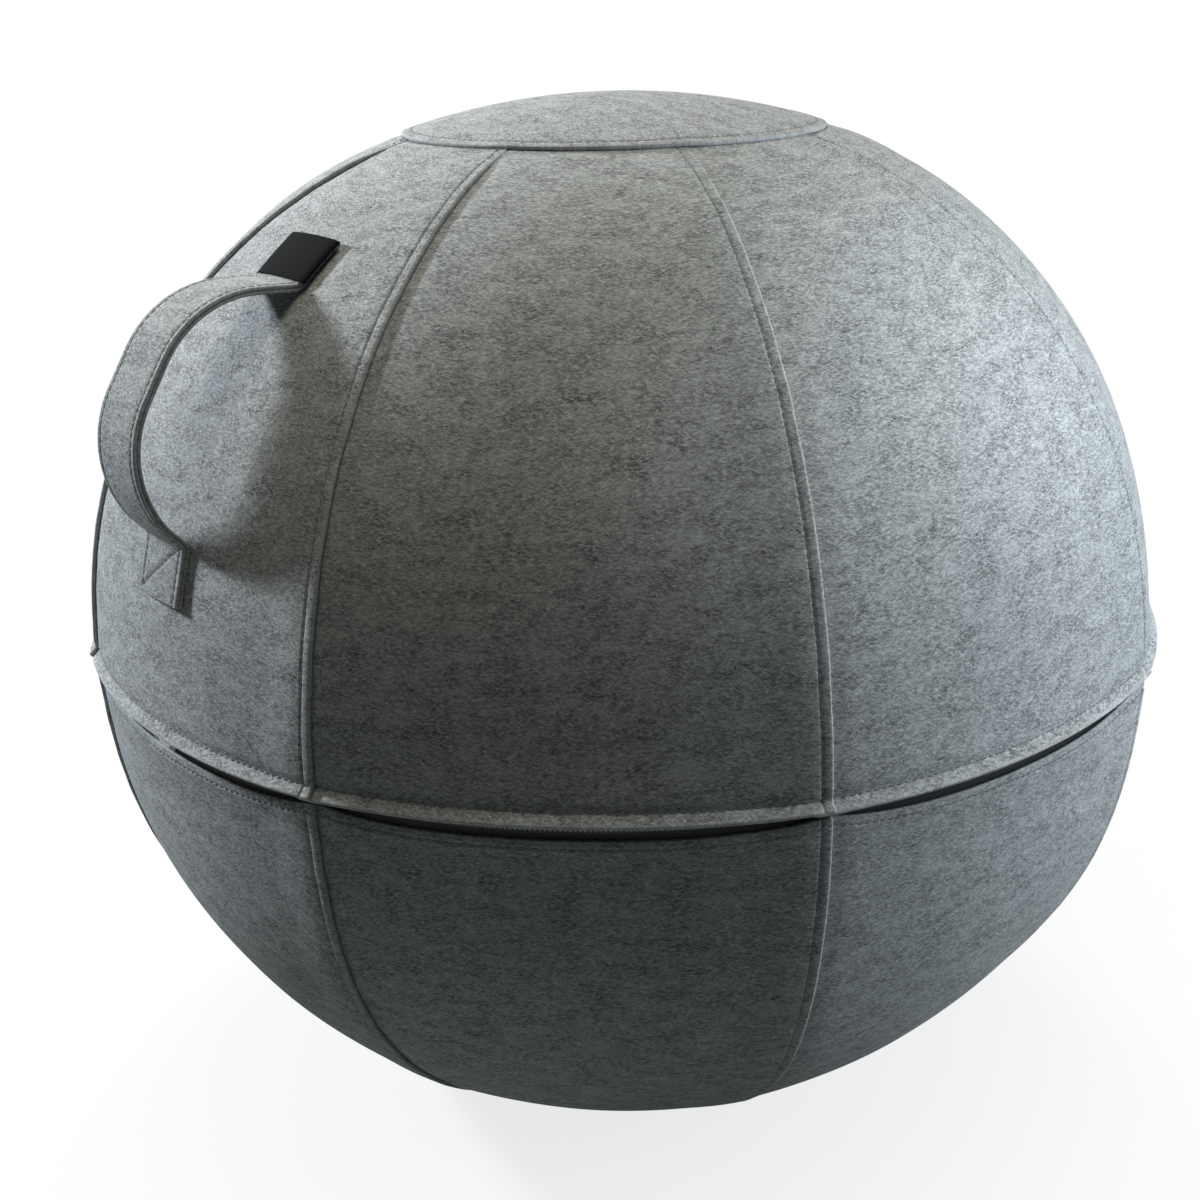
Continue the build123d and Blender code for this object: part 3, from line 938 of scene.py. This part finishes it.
def strap_point(length, across, height):
    """A place on the strap in metres and the outward direction; its sewn ends hug the ball, and its arch is
    slightly crowned."""
    point, ahead = strap_at(length)
    away = Vector((ahead.y, -ahead.x))
    past = length - (strap_length - upper_sewn_length)
    free = min(ease((length - lower_sewn_length) / sewn_run), ease(-past / sewn_run))
    hug = across * across / (2 * point.x) * (1 - (1 - arch_crown) * free)
    hug += max(0.0, past) ** 2 / (2 * shoulder_arc)
    point = point + away * (height - hug)
    place = Vector((across + strap_aside, -point.x, belt_height + point.y))
    return place * MM, Vector((0, -away.x, away.y))


end_steps = (0.0, 0.15, 0.4, 0.8, 1.4)
strap_edges = (*end_steps, 2.4, 3.2, 3.7, 4.2, 4.9, 6.5)
middle_steps = 30
tab_start = 2.0
tab_rows = 36
arch_rows = 120
arch_stop = 2.5
half_width = strap_width / 2
middle_start = strap_edges[-1] - half_width
strap_columns = [-half_width + e for e in strap_edges]
strap_columns += [middle_start - 2 * middle_start * i / middle_steps for i in range(1, middle_steps)]
strap_columns += [half_width - e for e in reversed(strap_edges)]
arch_run = strap_length - lower_sewn_length - arch_stop
strap_rows = list(end_steps)
strap_rows += [tab_start + (lower_sewn_length - tab_start) * i / tab_rows for i in range(tab_rows)]
strap_rows += [lower_sewn_length + arch_run * i / arch_rows for i in range(arch_rows + 1)]
strap_rows += [strap_length - e for e in reversed(end_steps)]
strap_stitch = 3.7
strap_groove = 0.5
strap_groove_width = 0.6
ply_round = 0.8
ply_drop = 0.45
strap_cloth_place = 8.0
ply_cloth_step = 0.2
tab_low = 3.4
tab_high = lower_sewn_length - 1.5
tab_side = half_width - strap_stitch
crease_depth = 0.8
crease_width = 1.0
crease_margin = 0.1


def tab_crease(length, across):
    """Depth of the sewn line that crosses the lower end from corner to corner."""
    rise = tab_high - tab_low
    share = (length - tab_low) / rise
    if not -crease_margin < share < 1 + crease_margin:
        return 0.0
    off = (across - tab_side * (2 * share - 1)) * rise / hypot(rise, 2 * tab_side)
    return crease_depth * exp(-((off / crease_width) ** 2))


def strap_sheet(name, lengths, acrosses, heights, cut, raw=None):
    """A sheet that lies along the strap, from the heights of its outer and inner faces at each place."""
    faces = ([], [])
    for length in lengths:
        tall = [heights(length, across) for across in acrosses]
        for face, side in zip(faces, zip(*tall)):
            face.append([strap_point(length, across, height)[0] for across, height in zip(acrosses, side)])
    return closed_sheet(name, *faces, cut, raw)


def make_ply(name, low, high, grooved):
    """One ply of the strap between two heights over its inner face."""

    def from_edge(length, across):
        """Distance to the ply's nearest cut edge."""
        return min(length, strap_length - length, half_width - abs(across))

    def heights(length, across):
        """Heights of the ply's two faces, rounded at its edges and drawn in by the sewing."""
        drop = ply_drop * max(0.0, 1 - from_edge(length, across) / ply_round) ** 2
        from_stitch = half_width - abs(across) - strap_stitch
        groove = strap_groove * exp(-((from_stitch / strap_groove_width) ** 2))
        sunk = max(groove, tab_crease(length, across)) if grooved else 0.0
        return high - drop - sunk, low + drop

    cut, raw = [], []
    aside = strap_cloth_place + low * ply_cloth_step
    for length in strap_rows:
        cut.append([(across * MM + aside, length * MM) for across in strap_columns])
        raw.append([raw_share(from_edge(length, across)) for across in strap_columns])
    piece = strap_sheet(name, strap_rows, strap_columns, heights, cut, raw)
    piece.data.materials.append(felt)
    return piece


def bend_with_handle(piece):
    """Bakes the piece's placement into its mesh; the piece is left without a body."""
    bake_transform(piece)


half_ply = (strap_thickness - ply_gap) / 2
strap_inner = make_ply("strap_inner_ply", 0.0, half_ply, False)
strap_outer = make_ply("strap_outer_ply", half_ply + ply_gap, strap_thickness, True)
for ply in (strap_inner, strap_outer):
    bend_with_handle(ply)
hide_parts("handle_lower_end", "handle_arch", "handle_upper_end")

# Label: a bare woven patch, folded in at its edges and sewn over the strap's upper end.
# It is a little wider than the strap and bends down over its sides.
label_width = 49.0
label_length = 30.0
label_thickness = 0.8
label_setback = 1.8
label_rim = (0.0, 0.2, 0.6, 1.2, 2.2)
label_inset = 4.0
label_fold = 0.25
label_fold_width = 0.6
label_droop = 0.35


def label_cloth():
    """Damask polyester ribbon, tightly woven: soft black with a faint satin shine along fine ribs."""
    rib = 0.6 * MM
    finish = new_finish("damask_ribbon", 0.9, Specular_IOR_Level=0.06)
    return woven_ribs(finish, rib, "Y", 0.4, "#08090a", "#111215", (0.35, 0.15))


def label_steps(size, count):
    """Places from edge to edge of the label, closer together at its folded edges."""
    inside = [label_inset + (size - 2 * label_inset) * i / count for i in range(count + 1)]
    return [*label_rim, *inside, *(size - rim for rim in reversed(label_rim))]


def make_label():
    """The patch, curved with the strap and drawn down where it overhangs its sides."""
    start = strap_length - upper_sewn_length + label_setback
    base = strap_thickness + strap_clearance
    half = label_width / 2
    ups = label_steps(label_length, 8)
    acrosses = [place - half for place in label_steps(label_width, 12)]

    def heights(length, across):
        """Heights of the patch's two faces over the strap's inner face."""
        near = min(length - start, start + label_length - length, half - abs(across))
        fold = label_fold * max(0.0, 1 - near / label_fold_width) ** 2
        droop = label_droop * max(0.0, abs(across) - half_width)
        return base + label_thickness - fold - droop, base - droop

    cut = [[(across * MM, up * MM) for across in acrosses] for up in ups]
    return strap_sheet("label_patch", [start + up for up in ups], acrosses, heights, cut)


label = make_label()
label.data.materials.append(label_cloth())
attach(label, "upper_cover")
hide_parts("label")

# Sewing: grey polyester thread, lock-stitched along the laps, the hems, the discs and the handle.
# Each stitch dips into the felt at both ends.
stitch_pitch = 4.4
stitch_length = 3.7
thread_radius = 0.32
thread_seat = 0.6
thread_sides = 6
stitch_rings = (
    (-1.0, 0.3, -0.45),
    (-0.7, 0.9, -0.1),
    (0.0, 1.0, 0.12),
    (0.7, 0.9, -0.1),
    (1.0, 0.3, -0.45),
)
lap_steps = 120
crease_steps = 60
crease_start = 1.2
crease_short = 1.4
disc_thread_lift = 0.2
strap_thread_sink = 0.15


def sew(name, rows, body=None):
    """One mesh of stitches along rows of places, each a point and the outward direction there."""
    points, faces = [], []
    for row in rows:
        lengths = [0.0]
        for (before, _), (after, _) in zip(row, row[1:]):
            lengths.append(lengths[-1] + (after - before).length)
        count = int(lengths[-1] / (stitch_pitch * MM))
        index = 0
        for stitch in range(count):
            middle = (stitch + 0.5) * lengths[-1] / count
            while index < len(lengths) - 2 and lengths[index + 1] < middle:
                index += 1
            share = (middle - lengths[index]) / (lengths[index + 1] - lengths[index])
            centre = row[index][0].lerp(row[index + 1][0], share)
            away = row[index][1].lerp(row[index + 1][1], share).normalized()
            ahead = (row[index + 1][0] - row[index][0]).normalized()
            aside = away.cross(ahead)
            first = len(points)
            for step, swell, lift in stitch_rings:
                spine = centre + ahead * (step * stitch_length / 2 * MM) + away * (lift * MM)
                for side in range(thread_sides):
                    turn = 2 * pi * side / thread_sides
                    spoke = away * sin(turn) + aside * cos(turn)
                    points.append(spine + spoke * (swell * thread_radius * MM))
            for ring in range(len(stitch_rings) - 1):
                for side in range(thread_sides):
                    a = first + ring * thread_sides + side
                    b = first + ring * thread_sides + (side + 1) % thread_sides
                    faces.append((a, b, b + thread_sides, a + thread_sides))
            last = first + (len(stitch_rings) - 1) * thread_sides
            faces.append(tuple(range(first + thread_sides - 1, first - 1, -1)))
            faces.append(tuple(range(last, last + thread_sides)))
    piece = add_to_scene(name, new_mesh(name, points, faces, turned=False))
    piece.data.materials.append(thread)
    if body:
        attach(piece, body)
    return piece


def spun_thread():
    """Spun polyester thread, twisted: mid grey with a slight shine along the twist."""
    twist = 0.5 * MM
    finish = new_finish("spun_thread", 0.6, Specular_IOR_Level=0.3)
    tree = finish[1]
    place = add_node(tree, "ShaderNodeTexCoord").outputs["Object"]
    plied = {"Vector": place, "Scale": 1 / twist, "Detail": 1.0}
    strands = add_node(tree, "ShaderNodeTexNoise", {}, plied).outputs[0]
    return two_tone(finish, strands, colour("#5f6162"), colour("#8b8d8e"))


thread = spun_thread()


def panel_rows(half):
    """The rows sewn on one half: along each lap, along each hem's crease, and round the disc."""
    seat = thread_radius * thread_seat
    rows = []
    for index in range(panel_count):
        right = (index + 0.5) * gore_angle
        lap = []
        for i in range(lap_steps + 1):
            rough_out = skin(half, index * gore_angle, "body", i / lap_steps)[0]
            azimuth = right - degrees((seam_stitch - seam_shift) / rough_out)
            out, up, tilt, along = skin(half, azimuth, "body", i / lap_steps)
            lift = felt_lift(half, azimuth, along, out, seam_stitch, radians(gore_angle) * out)
            lap.append(put(half, azimuth, out, up, tilt, lift + seat))
        crease = []
        for i in range(crease_steps + 1):
            azimuth = right - gore_angle + crease_start + (gore_angle - crease_short) * i / crease_steps
            out, up, tilt, along = skin(half, azimuth, "hem", 1.0)
            from_right = radians(right - azimuth) * out
            from_left = radians(azimuth - right + gore_angle) * out
            lift = felt_lift(half, azimuth, along, out, from_right, from_left)
            crease.append(put(half, azimuth, out, up, tilt, lift + seat))
        rows += [lap, crease]
    thickness, bump = (felt_thickness, top_bump) if half > 0 else (base_cloth_thickness, base_bump)
    lift = disc_gap + thickness * 0.75 + disc_thread_lift
    rows.append([disc_point(half, turn, disc_radius - disc_stitch, lift, bump) for turn in range(361)])
    return rows


sew("stitching_lower", panel_rows(-1), "ball")
sew("stitching_upper", panel_rows(1), "upper_cover")


def strap_line(start, end, count):
    """Places on the strap's outer face along a straight line, from (length, across) to (length, across)."""
    row = []
    for i in range(count + 1):
        length = start[0] + (end[0] - start[0]) * i / count
        across = start[1] + (end[1] - start[1]) * i / count
        row.append(strap_point(length, across, strap_thickness - strap_thread_sink))
    return row


side_end = strap_length - upper_sewn_length
strap_sides = [strap_line((tab_low, side), (side_end, side), 160) for side in (-tab_side, tab_side)]
strap_box = [
    strap_line((tab_low, -tab_side), (tab_low, tab_side), 12),
    strap_line((tab_high, -tab_side), (tab_high, tab_side), 12),
    strap_line((tab_low, -tab_side), (tab_high, tab_side), 20),
]
bend_with_handle(sew("stitching_strap", strap_sides))
sew("stitching_tab", strap_box, "upper_cover")

# Studio: a pale paper floor that shows white away from the ball, with white all round.
# A small strong lamp stands far round to the left, three weaker ones on the right, a broad one above and one
# behind, so that the front of the ball lies in shade.
view_azimuth = radians(50.657)
view_elevation = radians(19.879)
view_distance = 1.10149
aim_right = -0.0151
aim_up = -0.00526
view_roll = radians(-1.45)
lens = 51.294
floor_size = 30.0
shadow_near = 0.12
shadow_far = 0.6
shadow_white = 0.8


def in_view(tree):
    """1 for rays that the camera sees, also by way of metal or glass, and 0 for light on the ball."""
    path = add_node(tree, "ShaderNodeLightPath")
    seen = path.outputs["Is Camera Ray"]
    for kind in ("Is Glossy Ray", "Is Transmission Ray"):
        either = {0: seen, 1: path.outputs[kind]}
        seen = add_node(tree, "ShaderNodeMath", {"operation": "MAXIMUM"}, either).outputs[0]
    return seen


def pale_floor():
    """Matt white paper: it takes the ball's shadow, fades to white far off and throws little light back."""
    made, tree, shader = new_finish("pale_floor", 0.9)
    tree.nodes.remove(shader)
    seen = in_view(tree)
    place = add_node(tree, "ShaderNodeNewGeometry")
    far = add_node(tree, "ShaderNodeVectorMath", {"operation": "LENGTH"}, {0: place.outputs["Position"]})
    span = {"Value": far.outputs[1], "From Min": shadow_near, "From Max": shadow_far, "To Min": shadow_white}
    fade = add_node(tree, "ShaderNodeMapRange", {"interpolation_type": "SMOOTHSTEP"}, span)
    white = add_node(tree, "ShaderNodeMath", {"operation": "MULTIPLY"}, {0: seen, 1: fade.outputs[0]})
    greys = {0: seen, 6: colour("#7f8482"), 7: colour("#f4f4f4")}
    grey = add_node(tree, "ShaderNodeMix", {"data_type": "RGBA"}, greys)
    paper = add_node(tree, "ShaderNodeBsdfDiffuse", {}, {"Color": grey.outputs[2]})
    glow = add_node(tree, "ShaderNodeEmission", {}, {"Color": (1, 1, 1, 1), "Strength": 1.0})
    layers = {0: white.outputs[0], 1: paper.outputs[0], 2: glow.outputs[0]}
    mixed = add_node(tree, "ShaderNodeMixShader", {}, layers)
    tree.links.new(mixed.outputs[0], tree.nodes["Material Output"].inputs["Surface"])
    return made


edge = floor_size / 2
corners = [(-edge, -edge, 0), (edge, -edge, 0), (edge, edge, 0), (-edge, edge, 0)]
floor = add_to_scene("floor", new_mesh("floor", corners, [(0, 1, 2, 3)], turned=False, smooth=False))
floor.data.materials.append(pale_floor())

world = bpy.data.worlds.new("studio")
bpy.context.scene.world = world
world.use_nodes = True
sky = world.node_tree
ambient = add_node(sky, "ShaderNodeBackground", {}, {"Color": (1.0, 1.0, 0.95, 1), "Strength": 0.01})
backdrop = add_node(sky, "ShaderNodeBackground", {}, {"Color": (1, 1, 1, 1), "Strength": 1.0})
sky_layers = {0: in_view(sky), 1: ambient.outputs[0], 2: backdrop.outputs[0]}
sky_mix = add_node(sky, "ShaderNodeMixShader", {}, sky_layers)
sky.links.new(sky_mix.outputs[0], sky.nodes["World Output"].inputs["Surface"])

centre = Vector((0, 0, belt_height * MM))


def direction(azimuth, elevation):
    """The way from the ball towards an azimuth, 0 at the front, and an elevation, both in radians."""
    return Vector((sin(azimuth) * cos(elevation), -cos(azimuth) * cos(elevation), sin(elevation)))


def lamp(name, off_view, elevation, distance, size, level):
    """A square soft lamp aimed at the ball, placed by its angle from the view. Its red, green and blue levels
    are 1 where it lights a white sheet that faces it to full white."""
    toward = direction(view_azimuth + radians(off_view), radians(elevation))
    light = bpy.data.lights.new(name, "AREA")
    light.size = size
    light.energy = max(level) * (pi * distance) ** 2
    light.color = [part / max(level) for part in level]
    made = add_to_scene(name, light)
    made.visible_camera = False
    aimed = toward.to_track_quat("Z", "Y").to_matrix().to_4x4()
    made.matrix_world = Matrix.Translation(centre + toward * distance) @ aimed


lamp("lamp_left", -109, 25, 2.2, 0.25, (1.11, 1.19, 1.26))
lamp("lamp_right", 90, 6, 2.2, 0.9, (0.40, 0.45, 0.49))
lamp("lamp_right_low", 75, 8, 0.7, 0.3, (0.24, 0.27, 0.29))
lamp("lamp_right_near", 48, 35, 0.52, 0.2, (0.145, 0.16, 0.17))
lamp("lamp_top", 0, 88, 2.2, 1.2, (0.46, 0.45, 0.38))
lamp("lamp_back", 180, 50, 2.2, 0.6, (0.44, 0.45, 0.46))

toward_view = direction(view_azimuth, view_elevation)
eye = centre + toward_view * view_distance
level_right = Vector((cos(view_azimuth), sin(view_azimuth), 0))
aim = centre + level_right * aim_right + toward_view.cross(level_right) * aim_up
ahead = (aim - eye).normalized()
right = ahead.cross(Vector((0, 0, 1))).normalized()
up = right.cross(ahead)
camera_data = bpy.data.cameras.new("camera")
camera_data.lens = lens
camera_data.sensor_width = 36.0
camera = add_to_scene("camera", camera_data)
rolled_right = right * cos(view_roll) + up * sin(view_roll)
rolled_up = up * cos(view_roll) - right * sin(view_roll)
axes = Matrix((rolled_right, rolled_up, -ahead)).transposed().to_4x4()
camera.matrix_world = Matrix.Translation(eye) @ axes
bpy.context.scene.camera = camera
bpy.context.scene.view_settings.view_transform = "Standard"

bpy.context.view_layer.update()
